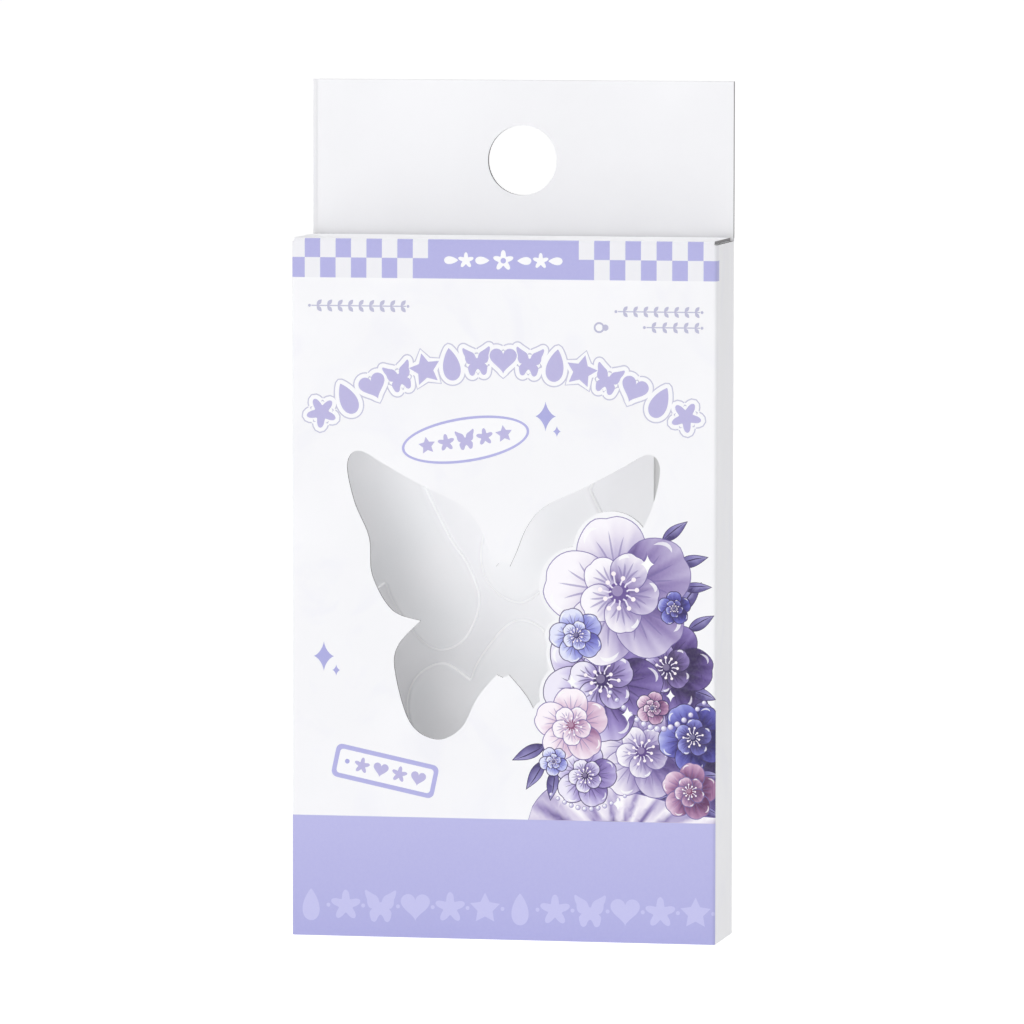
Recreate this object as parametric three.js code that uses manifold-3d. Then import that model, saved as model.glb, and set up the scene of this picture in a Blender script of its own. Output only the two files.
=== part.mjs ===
// Butterfly ear stickers on their sheet, inside a folding carton with a hang tab and a
// butterfly window. Millimetres, +Z up. The carton stands on z = 0 with its front towards -Y,
// and the origin is the middle of its foot.

import * as THREE from 'three';
import { mergeVertices } from 'three/addons/utils/BufferGeometryUtils.js';
import Module from 'manifold-3d';

const wasm = await Module();
wasm.setup();

// Carton
const width = 75;
const height = 122;
const depth = 18;
const board = 0.5;

// Hang tab: the back panel carried up, with a second ply glued to its front
const tabHeight = 27.1;
const hangHoleRadius = 6.1;
const hangHoleDrop = 14; // from the tab's top edge to the middle of the hole
const plySetback = 0.9; // how far the front ply stops short of the back panel's left edge
const plyReach = 10; // how far the front ply runs down inside the carton
const tongueInset = 0.3; // between the ply's inner stretch and the side panels

// Top lid with its tuck flap, hinged on the front panel's top crease
const lidSideInset = 0.3;
const lidTabGap = 0.5;
const lidSideGap = 0.45; // between the lid and the side panels' top edges
const tuckLength = 8.5;
const tuckSideInset = 2;
const tuckCorner = 4;
const tuckSwingClearance = 0.2; // what the flap's free edge clears the tab by as the lid opens

// Butterfly window
const windowWidth = 55.3;
const windowHeight = 50.3;
const windowFoot = 34.8; // from the carton's foot to the window's lowest point

// Printed blooms that the window's die cut goes round
const bloomBorder = 0.6; // white left round each bloom
const petalCount = 5;
const petalSpread = 0.54; // from the bloom's middle to a petal's middle, share of its radius
const petalSize = 0.46; // petal's radius, share of the bloom's

// Sheet and stickers
const sheetThickness = 0.35;
const sheetSideSlack = 13.5; // the sheet is this much narrower than the carton's inside
const sheetHeadroom = 12.5; // from the sheet's top edge to the carton's top
const sheetCorner = 1.5;
const stickerThickness = 0.8;
const stickerLeftMargin = 0.2;
const stickerRightMargin = 1.4;
const stickerTopMargin = 3.2;
const stickerFootMargin = 1.2;
const lowerStickerScale = 0.92;
const rowNesting = 0.101; // how far the two rows run into each other, share of a sticker's span

// Points per row of an outline table, and per petal
const curveSteps = 5;
const petalSteps = 28;

// Right half of the window from the head round to the tail, in stretches that meet at corners.
// Columns: across, a share of half the window's width; up, a share of its height.
const windowStretches = [
  [[0, 0.620], [0.027, 0.615], [0.043, 0.604]],
  [[0.043, 0.604], [0.085, 0.654], [0.155, 0.744], [0.271, 0.815], [0.528, 0.883],
    [0.756, 0.950], [0.926, 0.998], [1, 0.950], [0.954, 0.821], [0.860, 0.698],
    [0.839, 0.567], [0.712, 0.447], [0.528, 0.411]],
  [[0.528, 0.411], [0.669, 0.328], [0.694, 0.237], [0.597, 0.058], [0.427, 0],
    [0.268, 0.040], [0.163, 0.147], [0.040, 0.229]],
  [[0.040, 0.229], [0, 0.219]],
];

// Half of a sticker from the notch at its head to the one at its tail.
// Columns: forward of the head notch, a share of its length; out, a share of half its span.
const stickerStretches = [
  [[0, 0], [0.154, 0.311], [0.259, 0.467], [0.331, 0.692], [0.249, 0.917],
    [0.102, 1], [-0.034, 0.941], [-0.195, 0.727], [-0.249, 0.595]],
  [[-0.249, 0.595], [-0.423, 0.702], [-0.594, 0.623], [-0.669, 0.457],
    [-0.645, 0.242], [-0.567, 0]],
];
const stickerTailReach = 0.669; // the furthest that the table goes behind the head notch

// Blooms at the window's right. Columns: across and up, shares as in the window's table;
// radius, a share of half the window's width; turn of the first petal in degrees.
const blooms = [
  { across: 0.741, up: 0.521, radius: 0.492, turn: 100 },
  { across: 0.633, up: 0.217, radius: 0.400, turn: 62 },
  { across: 0.440, up: 0.058, radius: 0.245, turn: 20 },
  { across: 0.470, up: 0.370, radius: 0.180, turn: 36 },
];

// Places worked out from the sizes above
const right = width / 2;
const front = -depth / 2;
const back = depth / 2;
const innerRight = right - board;
const innerFront = front + board;
const innerBack = back - board;
const top = height + tabHeight;
const wallTop = height - board;
const sideTop = wallTop - lidSideGap;
const halfWindow = windowWidth / 2;

const sheetWidth = 2 * innerRight - sheetSideSlack;
const sheetFoot = board;
const sheetTop = height - sheetHeadroom;
const sheetLeft = -innerRight;
const sheetFront = innerBack - sheetThickness;

const stickerLength = (sheetWidth - stickerLeftMargin - stickerRightMargin) / 2;
const stickerRows = 1 + lowerStickerScale - rowNesting;
const stickerSpan = (sheetTop - sheetFoot - stickerTopMargin - stickerFootMargin) / stickerRows;
const leftNotch = sheetLeft + stickerLeftMargin + stickerTailReach * stickerLength;
const upperAxis = sheetTop - stickerTopMargin - stickerSpan / 2;
const lowerAxis = sheetFoot + stickerFootMargin + lowerStickerScale * stickerSpan / 2;

// Colours and finishes
const cartonLook = { color: 0xf3f2f8, roughness: 0.55, metalness: 0 };
const printedLook = { color: 0xe6e4f4, roughness: 0.5, metalness: 0 };
const sheetLook = { color: 0xf1f1f3, roughness: 0.6, metalness: 0 };
const stickerLook = { color: 0xe2e4ea, roughness: 0.35, metalness: 0 };

const model = new THREE.Group();

function add(name, geometry, look) {
  const mesh = new THREE.Mesh(geometry, new THREE.MeshStandardMaterial(look));
  mesh.name = name;
  model.add(mesh);
  return mesh;
}

function block(x0, x1, y0, y1, z0, z1) {
  const geometry = new THREE.BoxGeometry(x1 - x0, y1 - y0, z1 - z0);
  return geometry.translate((x0 + x1) / 2, (y0 + y1) / 2, (z0 + z1) / 2);
}

// A flat outline in X and Z, made thick towards -Y from its back face.
function slab(outline, backFace, thickness) {
  const geometry = new THREE.ExtrudeGeometry(outline, {
    depth: thickness,
    bevelEnabled: false,
    curveSegments: petalSteps,
  });
  return geometry.rotateX(Math.PI / 2).translate(0, backFace, 0);
}

function toSolid(geometry) {
  const bare = geometry.clone();
  bare.deleteAttribute('normal');
  bare.deleteAttribute('uv');
  const merged = mergeVertices(bare, 1e-4);
  return new wasm.Manifold(new wasm.Mesh({
    numProp: 3,
    vertProperties: new Float32Array(merged.getAttribute('position').array),
    triVerts: new Uint32Array(merged.getIndex().array),
  }));
}

function toGeometry(solid) {
  const mesh = solid.getMesh();
  const geometry = new THREE.BufferGeometry();
  geometry.setAttribute('position', new THREE.BufferAttribute(mesh.vertProperties, 3));
  geometry.setIndex(new THREE.BufferAttribute(mesh.triVerts, 1));
  geometry.computeVertexNormals();
  return geometry;
}

// Points along the smooth stretches of a half outline, without the last one.
function halfOutline(stretches) {
  return stretches.flatMap((rows) => {
    const curve = new THREE.SplineCurve(rows.map(([u, v]) => new THREE.Vector2(u, v)));
    return curve.getPoints(curveSteps * (rows.length - 1)).slice(0, -1);
  });
}

// The half outline and its mirror image as one closed shape. flip gives the mirrored point.
function mirroredShape(stretches, place, flip) {
  const half = halfOutline(stretches);
  const [endU, endV] = stretches.at(-1).at(-1);
  const mirrored = half.slice(1).reverse().map(flip);
  return new THREE.Shape([...half, new THREE.Vector2(endU, endV), ...mirrored].map(place));
}

function windowShape() {
  const place = ({ x, y }) => new THREE.Vector2(x * halfWindow, windowFoot + y * windowHeight);
  return mirroredShape(windowStretches, place, ({ x, y }) => new THREE.Vector2(-x, y));
}

function stickerShape(notchX, axisZ, scale) {
  const length = scale * stickerLength;
  const halfSpan = scale * stickerSpan / 2;
  const place = ({ x, y }) => new THREE.Vector2(notchX + x * length, axisZ + y * halfSpan);
  return mirroredShape(stickerStretches, place, ({ x, y }) => new THREE.Vector2(x, -y));
}

function circleShape(x, z, radius) {
  return new THREE.Shape().absarc(x, z, radius, 0, 2 * Math.PI);
}

function rectangle(x0, x1, z0, z1) {
  const corners = [[x0, z0], [x1, z0], [x1, z1], [x0, z1]];
  return new THREE.Shape(corners.map(([x, z]) => new THREE.Vector2(x, z)));
}

// One bloom and the white round it, thicker than the board on both sides.
function bloomCutter({ across, up, radius, turn }) {
  const middleX = across * halfWindow;
  const middleZ = windowFoot + up * windowHeight;
  const bloomRadius = radius * halfWindow;
  const thick = (shape) => toSolid(slab(shape, innerFront + 2 * board, 4 * board));
  let bloom = thick(circleShape(middleX, middleZ, petalSpread * bloomRadius));
  for (let petal = 0; petal < petalCount; petal += 1) {
    const angle = THREE.MathUtils.degToRad(turn) + 2 * Math.PI * petal / petalCount;
    const x = middleX + petalSpread * bloomRadius * Math.cos(angle);
    const z = middleZ + petalSpread * bloomRadius * Math.sin(angle);
    bloom = bloom.add(thick(circleShape(x, z, petalSize * bloomRadius + bloomBorder)));
  }
  return bloom;
}

// Front panel: the lid's crease is along its top edge, and the window is cut round the blooms.
function frontPanel() {
  const panel = toSolid(slab(rectangle(-right, right, 0, wallTop), innerFront, board));
  let opening = toSolid(slab(windowShape(), innerFront + board, 3 * board));
  for (const bloom of blooms) {
    opening = opening.subtract(bloomCutter(bloom));
  }
  return toGeometry(panel.subtract(opening));
}

// A board with the hang hole through it.
function holedBoard(outline, backFace) {
  const hole = new THREE.Path().absarc(0, top - hangHoleDrop, hangHoleRadius, 0, 2 * Math.PI);
  outline.holes.push(hole);
  return slab(outline, backFace, board);
}

// The tab's front ply. Inside the carton it narrows to a tongue between the side panels.
function frontPlyShape() {
  const side = innerRight - tongueInset;
  const corners = [
    [-side, height - plyReach], [side, height - plyReach], [side, sideTop + tongueInset],
    [right, sideTop + tongueInset], [right, top], [-right + plySetback, top],
    [-right + plySetback, sideTop + tongueInset], [-side, sideTop + tongueInset],
  ];
  return new THREE.Shape(corners.map(([x, z]) => new THREE.Vector2(x, z)));
}

// Lid panel and tuck flap in one. The flap leans in just far enough for its free edge to swing
// out past the tab.
function topLid() {
  const lidBack = innerBack - board - lidTabGap;
  const lidDepth = lidBack - front;
  const lidRight = right - lidSideInset;
  const swing = lidDepth + lidTabGap - tuckSwingClearance;
  const reach = tuckLength * (tuckLength + board);
  const lean = Math.asin((reach + lidDepth ** 2 - swing ** 2) / (2 * lidDepth * tuckLength));

  const panel = toSolid(block(-lidRight, lidRight, front, lidBack, wallTop, height));

  const side = lidRight - tuckSideInset;
  const outline = new THREE.Shape();
  outline.moveTo(-side, 0);
  outline.lineTo(-side, -tuckLength + tuckCorner);
  outline.absarc(-side + tuckCorner, -tuckLength + tuckCorner, tuckCorner,
    Math.PI, 1.5 * Math.PI);
  outline.lineTo(side - tuckCorner, -tuckLength);
  outline.absarc(side - tuckCorner, -tuckLength + tuckCorner, tuckCorner,
    1.5 * Math.PI, 2 * Math.PI);
  outline.lineTo(side, 0);
  const flap = slab(outline, 0, board);
  flap.rotateX(-lean).translate(0, lidBack, height - board / 2);
  return toGeometry(panel.add(toSolid(flap)));
}

function roundedSheet() {
  const sheetRight = sheetLeft + sheetWidth;
  const corners = [
    [sheetRight - sheetCorner, sheetFoot + sheetCorner, -0.5],
    [sheetRight - sheetCorner, sheetTop - sheetCorner, 0],
    [sheetLeft + sheetCorner, sheetTop - sheetCorner, 0.5],
    [sheetLeft + sheetCorner, sheetFoot + sheetCorner, 1],
  ];
  const outline = new THREE.Shape();
  for (const [x, z, start] of corners) {
    outline.absarc(x, z, sheetCorner, start * Math.PI, (start + 0.5) * Math.PI);
  }
  return slab(outline, innerBack, sheetThickness);
}

// Carton
add('front_panel', frontPanel(), printedLook);
add('back_panel', holedBoard(rectangle(-right, right, 0, top), back), cartonLook);
add('hang_tab_front_ply', holedBoard(frontPlyShape(), innerBack), cartonLook);
add('left_side_panel', block(-right, -innerRight, innerFront, innerBack, 0, sideTop), cartonLook);
add('right_side_panel', block(innerRight, right, innerFront, innerBack, 0, sideTop), cartonLook);
add('bottom_panel', block(-innerRight, innerRight, innerFront, innerBack, 0, board), cartonLook);
add('top_lid', topLid(), cartonLook);

// Sheet and stickers
add('sticker_sheet', roundedSheet(), sheetLook);
const stickers = [
  { name: 'ear_sticker_left', notch: leftNotch, axis: upperAxis, scale: 1 },
  { name: 'ear_sticker_right', notch: leftNotch + stickerLength, axis: upperAxis, scale: 1 },
  {
    name: 'ear_sticker_lower',
    notch: leftNotch + stickerLength / 2,
    axis: lowerAxis,
    scale: lowerStickerScale,
  },
];
for (const { name, notch, axis, scale } of stickers) {
  add(name, slab(stickerShape(notch, axis, scale), sheetFront, stickerThickness), stickerLook);
}

export default model;
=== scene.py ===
import random
from math import atan, atan2, copysign, cos, exp, hypot, pi, radians, sin, sqrt

import bpy
import numpy as np
from mathutils import Matrix, Vector
from mathutils.geometry import delaunay_2d_cdt
from mathutils.kdtree import KDTree


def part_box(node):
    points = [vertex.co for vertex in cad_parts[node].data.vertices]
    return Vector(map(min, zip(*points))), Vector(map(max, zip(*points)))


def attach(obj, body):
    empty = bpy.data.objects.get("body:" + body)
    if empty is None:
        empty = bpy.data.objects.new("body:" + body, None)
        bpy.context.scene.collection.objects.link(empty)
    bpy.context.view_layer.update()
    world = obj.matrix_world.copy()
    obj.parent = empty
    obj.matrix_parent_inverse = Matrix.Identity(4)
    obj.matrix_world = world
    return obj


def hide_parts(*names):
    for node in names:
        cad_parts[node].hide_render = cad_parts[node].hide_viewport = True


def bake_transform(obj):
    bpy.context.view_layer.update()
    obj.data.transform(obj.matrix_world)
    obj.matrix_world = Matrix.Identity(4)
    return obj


# Butterfly ear stickers on a sheet, in a printed carton with a hang tab. Lengths are millimetres
# and become metres where a mesh is made. The carton's front is painted in x and z.

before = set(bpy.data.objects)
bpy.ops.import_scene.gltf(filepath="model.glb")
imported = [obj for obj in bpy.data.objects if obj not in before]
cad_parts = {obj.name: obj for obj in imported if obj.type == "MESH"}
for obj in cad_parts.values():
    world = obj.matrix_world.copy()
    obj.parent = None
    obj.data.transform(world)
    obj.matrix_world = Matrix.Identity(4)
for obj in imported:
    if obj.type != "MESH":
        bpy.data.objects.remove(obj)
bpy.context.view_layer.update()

MM = 0.001


def corners(node):
    low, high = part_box(node)
    return low / MM, high / MM


# Sizes read from the frame
RIGHT = corners("front_panel")[1].x
FRONT = corners("front_panel")[0].y
BOARD = corners("front_panel")[1].y - FRONT
BACK = corners("back_panel")[1].y
TAB_TOP = corners("back_panel")[1].z
SIDE_TOP = corners("right_side_panel")[1].z + 0.25  # its crease rises a little under the lid
TOP = corners("top_lid")[1].z
LID_RIGHT = corners("top_lid")[1].x
SHEET_LOW, SHEET_HIGH = corners("sticker_sheet")

# Sizes that the frame can't tell
HOLE_RADIUS = 6.1
HOLE_DROP = 14
WINDOW_HALF_WIDTH = 27.65
WINDOW_HEIGHT = 50.3
WINDOW_FOOT = 34.8
BLOOM_BORDER = 0.6
PETAL_SPREAD = 0.54
PETAL_SIZE = 0.46
LID_BACK = 7.5
TUCK_LENGTH = 8.5
TUCK_SIDE_INSET = 2
TUCK_CORNER = 4
TUCK_LEAN = radians(13.7)
FOLD_RADIUS = 0.55
CREASE_RADIUS = 0.6
FOLD_STEPS = 8
CURVE_STEPS = 10
DISC_POINTS = 72
SHARP_ANGLE = radians(35)

# Right half of the window from head to tail: across and up, shares of its half width and height
WINDOW_STRETCHES = (
    ((0, 0.620), (0.027, 0.615), (0.043, 0.604)),
    ((0.043, 0.604), (0.085, 0.654), (0.155, 0.744), (0.271, 0.815), (0.528, 0.883), (0.756, 0.950),
     (0.926, 0.998), (1, 0.950), (0.954, 0.821), (0.860, 0.698), (0.839, 0.567), (0.712, 0.447),
     (0.528, 0.411)),
    ((0.528, 0.411), (0.669, 0.328), (0.694, 0.237), (0.597, 0.058), (0.427, 0), (0.268, 0.040),
     (0.163, 0.147), (0.040, 0.229)),
    ((0.040, 0.229), (0, 0.219)),
)

# Half of a sticker from head notch to tail notch: forward and out, shares of length and half span
STICKER_STRETCHES = (
    ((0, 0), (0.154, 0.311), (0.259, 0.467), (0.331, 0.692), (0.249, 0.917), (0.102, 1),
     (-0.034, 0.941), (-0.195, 0.727), (-0.249, 0.595)),
    ((-0.249, 0.595), (-0.423, 0.702), (-0.594, 0.623), (-0.669, 0.457), (-0.645, 0.242),
     (-0.567, 0)),
)

# Ink and paper colours, as seen (sRGB, 0 to 255)
BRIGHT = (255, 255, 255)
WHITE = (250, 250, 252)
LILAC = (180, 179, 228)
LILAC_DEEP = (172, 172, 224)
LILAC_FAINT = (198, 197, 239)
LILAC_GREY = (190, 189, 214)
LILAC_LINE = (200, 199, 220)
TITLE_LILAC = (188, 183, 224)
PALE_CELL = (240, 240, 244)


# Outlines

def spline(rows, steps):
    """Points of a uniform Catmull-Rom curve through the rows, without the last one."""
    points = []
    last = len(rows) - 1
    for i in range(last):
        a, b, c, d = (rows[min(max(k, 0), last)] for k in (i - 1, i, i + 1, i + 2))
        for step in range(steps):
            t = step / steps
            points.append(tuple(
                b[k] + 0.5 * t * (c[k] - a[k] + t * (2 * a[k] - 5 * b[k] + 4 * c[k] - d[k]
                                                     + t * (3 * (b[k] - c[k]) + d[k] - a[k])))
                for k in (0, 1)))
    return points


def mirrored(stretches, axis):
    """A closed outline from its half, mirrored in the given column."""
    half = [p for rows in stretches for p in spline(rows, CURVE_STEPS)]
    flip = [tuple(-v if k == axis else v for k, v in enumerate(p)) for p in half[:0:-1]]
    return half + [stretches[-1][-1]] + flip


def area(outline):
    return sum(a[0] * b[1] - b[0] * a[1] for a, b in sides(outline)) / 2


def turns(count):
    return [2 * pi * k / count for k in range(count)]


def polar(x, z, reach, angle):
    return x + reach * cos(angle), z + reach * sin(angle)


def circle(x, z, radius, count):
    return [polar(x, z, radius, t) for t in turns(count)]


def sides(outline):
    return list(zip(outline, outline[1:] + outline[:1]))


def turned(points, x, z, angle, scale=1.0):
    c, s = scale * cos(angle), scale * sin(angle)
    return [(x + c * u - s * v, z + s * u + c * v) for u, v in points]


def rounded_box(half_width, half_height, radius, steps=6):
    outline = []
    for quarter, (sx, sz) in enumerate(((1, 1), (-1, 1), (-1, -1), (1, -1))):
        for k in range(steps + 1):
            t = pi / 2 * (quarter + k / steps)
            outline.append(polar(sx * (half_width - radius), sz * (half_height - radius), radius, t))
    return outline


def window_outline():
    return [(u * WINDOW_HALF_WIDTH, WINDOW_FOOT + v * WINDOW_HEIGHT)
            for u, v in mirrored(WINDOW_STRETCHES, 0)]


# Printing inks. A shape is an outline and a function from a point and the colour under it.

def mix(a, b, share):
    share = min(max(share, 0.0), 1.0)
    return tuple(p + (q - p) * share for p, q in zip(a, b))


def ramp(stops, t):
    """The colour at t along stops of (place, colour)."""
    for (t0, a), (t1, b) in zip(stops, stops[1:]):
        if t <= t1:
            return mix(a, b, (t - t0) / (t1 - t0))
    return stops[-1][1]


def glaze(colour, share):
    return lambda x, z, under: mix(under, colour, share)


class Print:
    """Shapes in painter's order: a later one covers an earlier one."""

    def __init__(self):
        self.outlines = []
        self.inks = []
        self.extra = []

    def add(self, outline, ink):
        self.outlines.append(outline if area(outline) > 0 else outline[::-1])
        self.inks.append(ink if callable(ink) else lambda x, z, under: ink)

    def fill_points(self, x, z, radius, step):
        """Free points that let a gradient run smoothly inside a shape."""
        count = int(radius / step)
        for i in range(-count, count + 1):
            for j in range(-count, count + 1):
                px, pz = (i + 0.5 * (j % 2)) * step, j * step * 0.87
                if hypot(px, pz) < radius:
                    self.extra.append((x + px, z + pz))

    def stroke(self, points, width, ink, taper=True):
        """A line of the given width, pointed at both ends where it tapers."""
        left, right = [], []
        last = len(points) - 1
        for k, (x, z) in enumerate(points):
            ax, az = points[max(k - 1, 0)]
            bx, bz = points[min(k + 1, last)]
            length = hypot(bx - ax, bz - az) or 1.0
            half = width / 2 * (sin(pi * k / last) ** 0.7 if taper and 0 < k < last
                                else (0.0 if taper else 1.0))
            nx, nz = -(bz - az) / length * half, (bx - ax) / length * half
            left.append((x + nx, z + nz))
            right.append((x - nx, z - nz))
        if taper:
            right = right[1:-1]
        self.add(right + left[::-1], ink)


# Motifs

def sparkle(art, x, z, tall, wide, ink):
    """A four-pointed star with hollow sides."""
    art.add([(x + wide * cos(t) ** 3, z + tall * sin(t) ** 3) for t in turns(32)], ink)


PETAL_POINTS = 40
NOTCH_DEPTH = 0.09
NOTCH_TURN = 0.22
BASE_NARROWING = 0.10
BASE_TURN = 0.9
PETAL_WAVE = 0.012


def petal_points(radius):
    """A round petal pointing along +u, with a small notch at its tip and a narrower base."""
    points = []
    for t in turns(PETAL_POINTS):
        off = atan2(sin(t), cos(t))
        reach = radius * (1 - NOTCH_DEPTH * exp(-(off / NOTCH_TURN) ** 2)
                          - BASE_NARROWING * exp(-((abs(off) - pi) / BASE_TURN) ** 2)
                          + PETAL_WAVE * sin(5 * t))
        points.append(polar(0, 0, reach, t))
    return points


SHADE_MIDDLE = 19  # the bouquet is paler to the left of this, and darker to the right
SHADE_WIDTH = 14
SHADE_DEPTH = 0.42
HALF_PETAL = radians(36)
COARSE_STREAK = 0.05
FINE_STREAK = 0.03
SIDE_LEAN = 0.14
RIM_FALL = 0.10
LIGHT_LEAN = 0.20


def petal_ink(x, z, radius, angle, tones, seed):
    """Deep at the bloom's middle, pale at the rim, darker to one side, with soft streaks."""
    def ink(px, pz, under):
        dx, dz = px - x, pz - z
        out = hypot(dx, dz) / radius
        off = atan2(dz, dx) - angle
        off = atan2(sin(off), cos(off)) / HALF_PETAL
        streak = COARSE_STREAK * sin(off * 11 + seed) * min(out * 1.6, 1)
        streak += FINE_STREAK * sin(off * 23 + 2 * seed)
        side = min(max((px - SHADE_MIDDLE) / SHADE_WIDTH, -0.5), 1)
        tone = out + streak - SIDE_LEAN * off - RIM_FALL * off * off
        tone -= LIGHT_LEAN * (dx - 0.4 * dz) / radius + SHADE_DEPTH * side
        return ramp(tones, tone)
    return ink


PETALS = 5
PETAL_LINE = 0.16  # in millimetres
VEINS = (-0.5, -0.26, 0, 0.26, 0.5)
VEIN_START = 0.30
VEIN_END = 0.80
VEIN_WIDTH = 0.026
SHINE_START = 0.16
SHINE_TURN = 0.30
SHINE_REACH = 0.88
SHINE_WIDTH = 0.05
PATH_STEPS = [k / 6 for k in range(7)]


def draw_petals(art, x, z, radius, spread, size, turn, tones, line, seed):
    """A ring of outlined petals, each with veins and a shine. Spread, size and the widths of veins
    and shine are shares of the radius."""
    full = spread + size
    for k in range(PETALS):
        angle = turn + 2 * pi * k / PETALS
        px, pz = polar(x, z, spread * radius, angle)
        body = petal_points(size * radius)
        art.add(turned(body, px, pz, angle), glaze(line, 0.85))
        art.add(turned(body, px, pz, angle, 1 - PETAL_LINE / (size * radius)),
                petal_ink(x, z, radius * full, angle, tones, seed + k))
        for vein in VEINS:
            near, far = VEIN_START * full, (VEIN_END - abs(vein) * 0.3) * full
            path = []
            for s in PATH_STEPS:
                r = radius * (near + (far - near) * s)
                path.append(polar(x, z, r, angle + vein * (0.45 + 0.55 * s)))
            art.stroke(path, VEIN_WIDTH * radius, glaze(line, 0.45))
        shine = []
        for s in PATH_STEPS:
            r = radius * full * (SHINE_REACH - 0.25 * (s - 0.3) ** 2)
            shine.append(polar(x, z, r, angle + SHINE_START + SHINE_TURN * s))
        art.stroke(shine, SHINE_WIDTH * radius, glaze(BRIGHT, 0.75))


INNER_SPREAD = 0.29
INNER_SIZE = 0.25
HEART_SIZE = 0.135
STAMENS = 11
STAMEN_COLOUR = (236, 228, 246)
ANTHER_COLOUR = (255, 246, 250)


def bloom(art, x, z, radius, turn, tones, line, heart, seed):
    """A five-petalled flower with a second, smaller row of petals and stamens."""
    art.fill_points(x, z, radius, max(0.42, radius * 0.055))
    draw_petals(art, x, z, radius, PETAL_SPREAD, PETAL_SIZE, turn, tones, line, seed)
    inner = [(t * 0.95, mix(c, BRIGHT, 0.12)) for t, c in tones]
    draw_petals(art, x, z, radius, INNER_SPREAD, INNER_SIZE, turn + pi / PETALS, inner, line,
                seed + 3)
    art.add(circle(x, z, HEART_SIZE * radius, 28), heart)
    aside = 0.02 * radius
    art.add(circle(x - aside, z + aside, 0.07 * radius, 20), mix(heart, WHITE, 0.35))
    for k in range(STAMENS):
        a = 2 * pi * k / STAMENS + seed
        reach = radius * (0.22 + 0.05 * sin(3.1 * k + seed))
        tip = polar(x, z, reach, a)
        thread = [polar(x, z, 0.10 * radius, a), polar(x, z, 0.55 * reach, a + 0.12), tip]
        art.stroke(thread, 0.022 * radius, STAMEN_COLOUR, taper=False)
        art.add(circle(*tip, 0.030 * radius, 12), ANTHER_COLOUR)


LEAF_STEPS = 12
LEAF_CORE = 0.90


def leaf(art, x, z, length, width, angle):
    """A dark leaf with a paler half, a dark edge and a dark rib."""
    upper = [(length * k / LEAF_STEPS, width / 2 * sin(pi * (k / LEAF_STEPS) ** 0.8))
             for k in range(LEAF_STEPS + 1)]
    body = turned([(u, -v) for u, v in upper[1:-1]] + upper[::-1], x, z, angle)
    art.add(body, DARK_LINE)

    def ink(px, pz, under):
        u = (px - x) * cos(angle) + (pz - z) * sin(angle)
        v = -(px - x) * sin(angle) + (pz - z) * cos(angle)
        half = 0.25 if v > 0 else -0.12
        return ramp(LEAF_TONES, 0.25 + 0.6 * u / length + half + 0.06 * sin(u * 5 / width))

    mx, mz = turned([(length / 2, 0)], x, z, angle)[0]
    art.add([(mx + (px - mx) * LEAF_CORE, mz + (pz - mz) * LEAF_CORE) for px, pz in body], ink)
    rib = [(length * s, 0.04 * length * sin(3 * s)) for s in (0.02, 0.3, 0.6, 0.94)]
    art.stroke(turned(rib, x, z, angle), 0.10 * width, DARK_LINE)


def pearl(art, x, z, radius):
    """A round bead, lit from the upper left. Its parts are shares of the radius."""
    lit = 0.35 * radius
    art.add(circle(x, z, radius, 18), PEARL_EDGE)
    art.add(circle(x, z, radius * 0.84, 18), lambda px, pz, under: ramp(
        PEARL_TONES, hypot(px - x + lit, pz - z - lit) / radius))
    art.add(circle(x - 0.28 * radius, z + 0.3 * radius, radius * 0.26, 10), BRIGHT)


def share_bloom(across, up, radius, turn):
    return (across * WINDOW_HALF_WIDTH, WINDOW_FOOT + up * WINDOW_HEIGHT,
            radius * WINDOW_HALF_WIDTH, radians(turn))


# Tones from a bloom's middle to its rim: place and colour
PALE_TONES = ((0, (88, 68, 130)), (0.22, (142, 124, 180)), (0.5, (198, 188, 220)),
              (0.78, (238, 232, 244)), (1.05, (253, 250, 255)))
VIOLET_TONES = ((0, (46, 26, 80)), (0.25, (92, 70, 138)), (0.55, (146, 128, 192)),
                (0.85, (205, 196, 232)), (1.05, (240, 236, 250)))
BLUE_TONES = ((0, (40, 30, 98)), (0.3, (84, 80, 168)), (0.6, (132, 134, 212)),
              (0.9, (190, 194, 240)), (1.05, (230, 232, 252)))
PINK_TONES = ((0, (98, 50, 96)), (0.3, (164, 116, 158)), (0.6, (214, 180, 206)),
              (0.9, (244, 228, 240)), (1.05, (254, 246, 252)))
LEAF_TONES = ((0, (40, 28, 76)), (0.4, (80, 68, 130)), (0.8, (132, 124, 184)),
              (1.2, (194, 190, 226)))
SATIN_TONES = ((0, (96, 78, 138)), (0.25, (160, 146, 196)), (0.55, (212, 203, 228)),
               (0.85, (240, 234, 246)), (1.1, (255, 252, 255)))
PEARL_TONES = ((0, (255, 255, 255)), (0.6, (232, 228, 246)), (1.5, (150, 140, 196)))
SHADOW_TONES = ((0, (40, 26, 74)), (0.5, (70, 52, 112)), (1, (104, 88, 150)))
PEARL_EDGE = (138, 128, 180)
DARK_LINE = (54, 38, 92)
MID_LINE = (112, 98, 160)
VIOLET_HEART = (54, 34, 92)
BLUE_HEART = (46, 36, 104)

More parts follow.
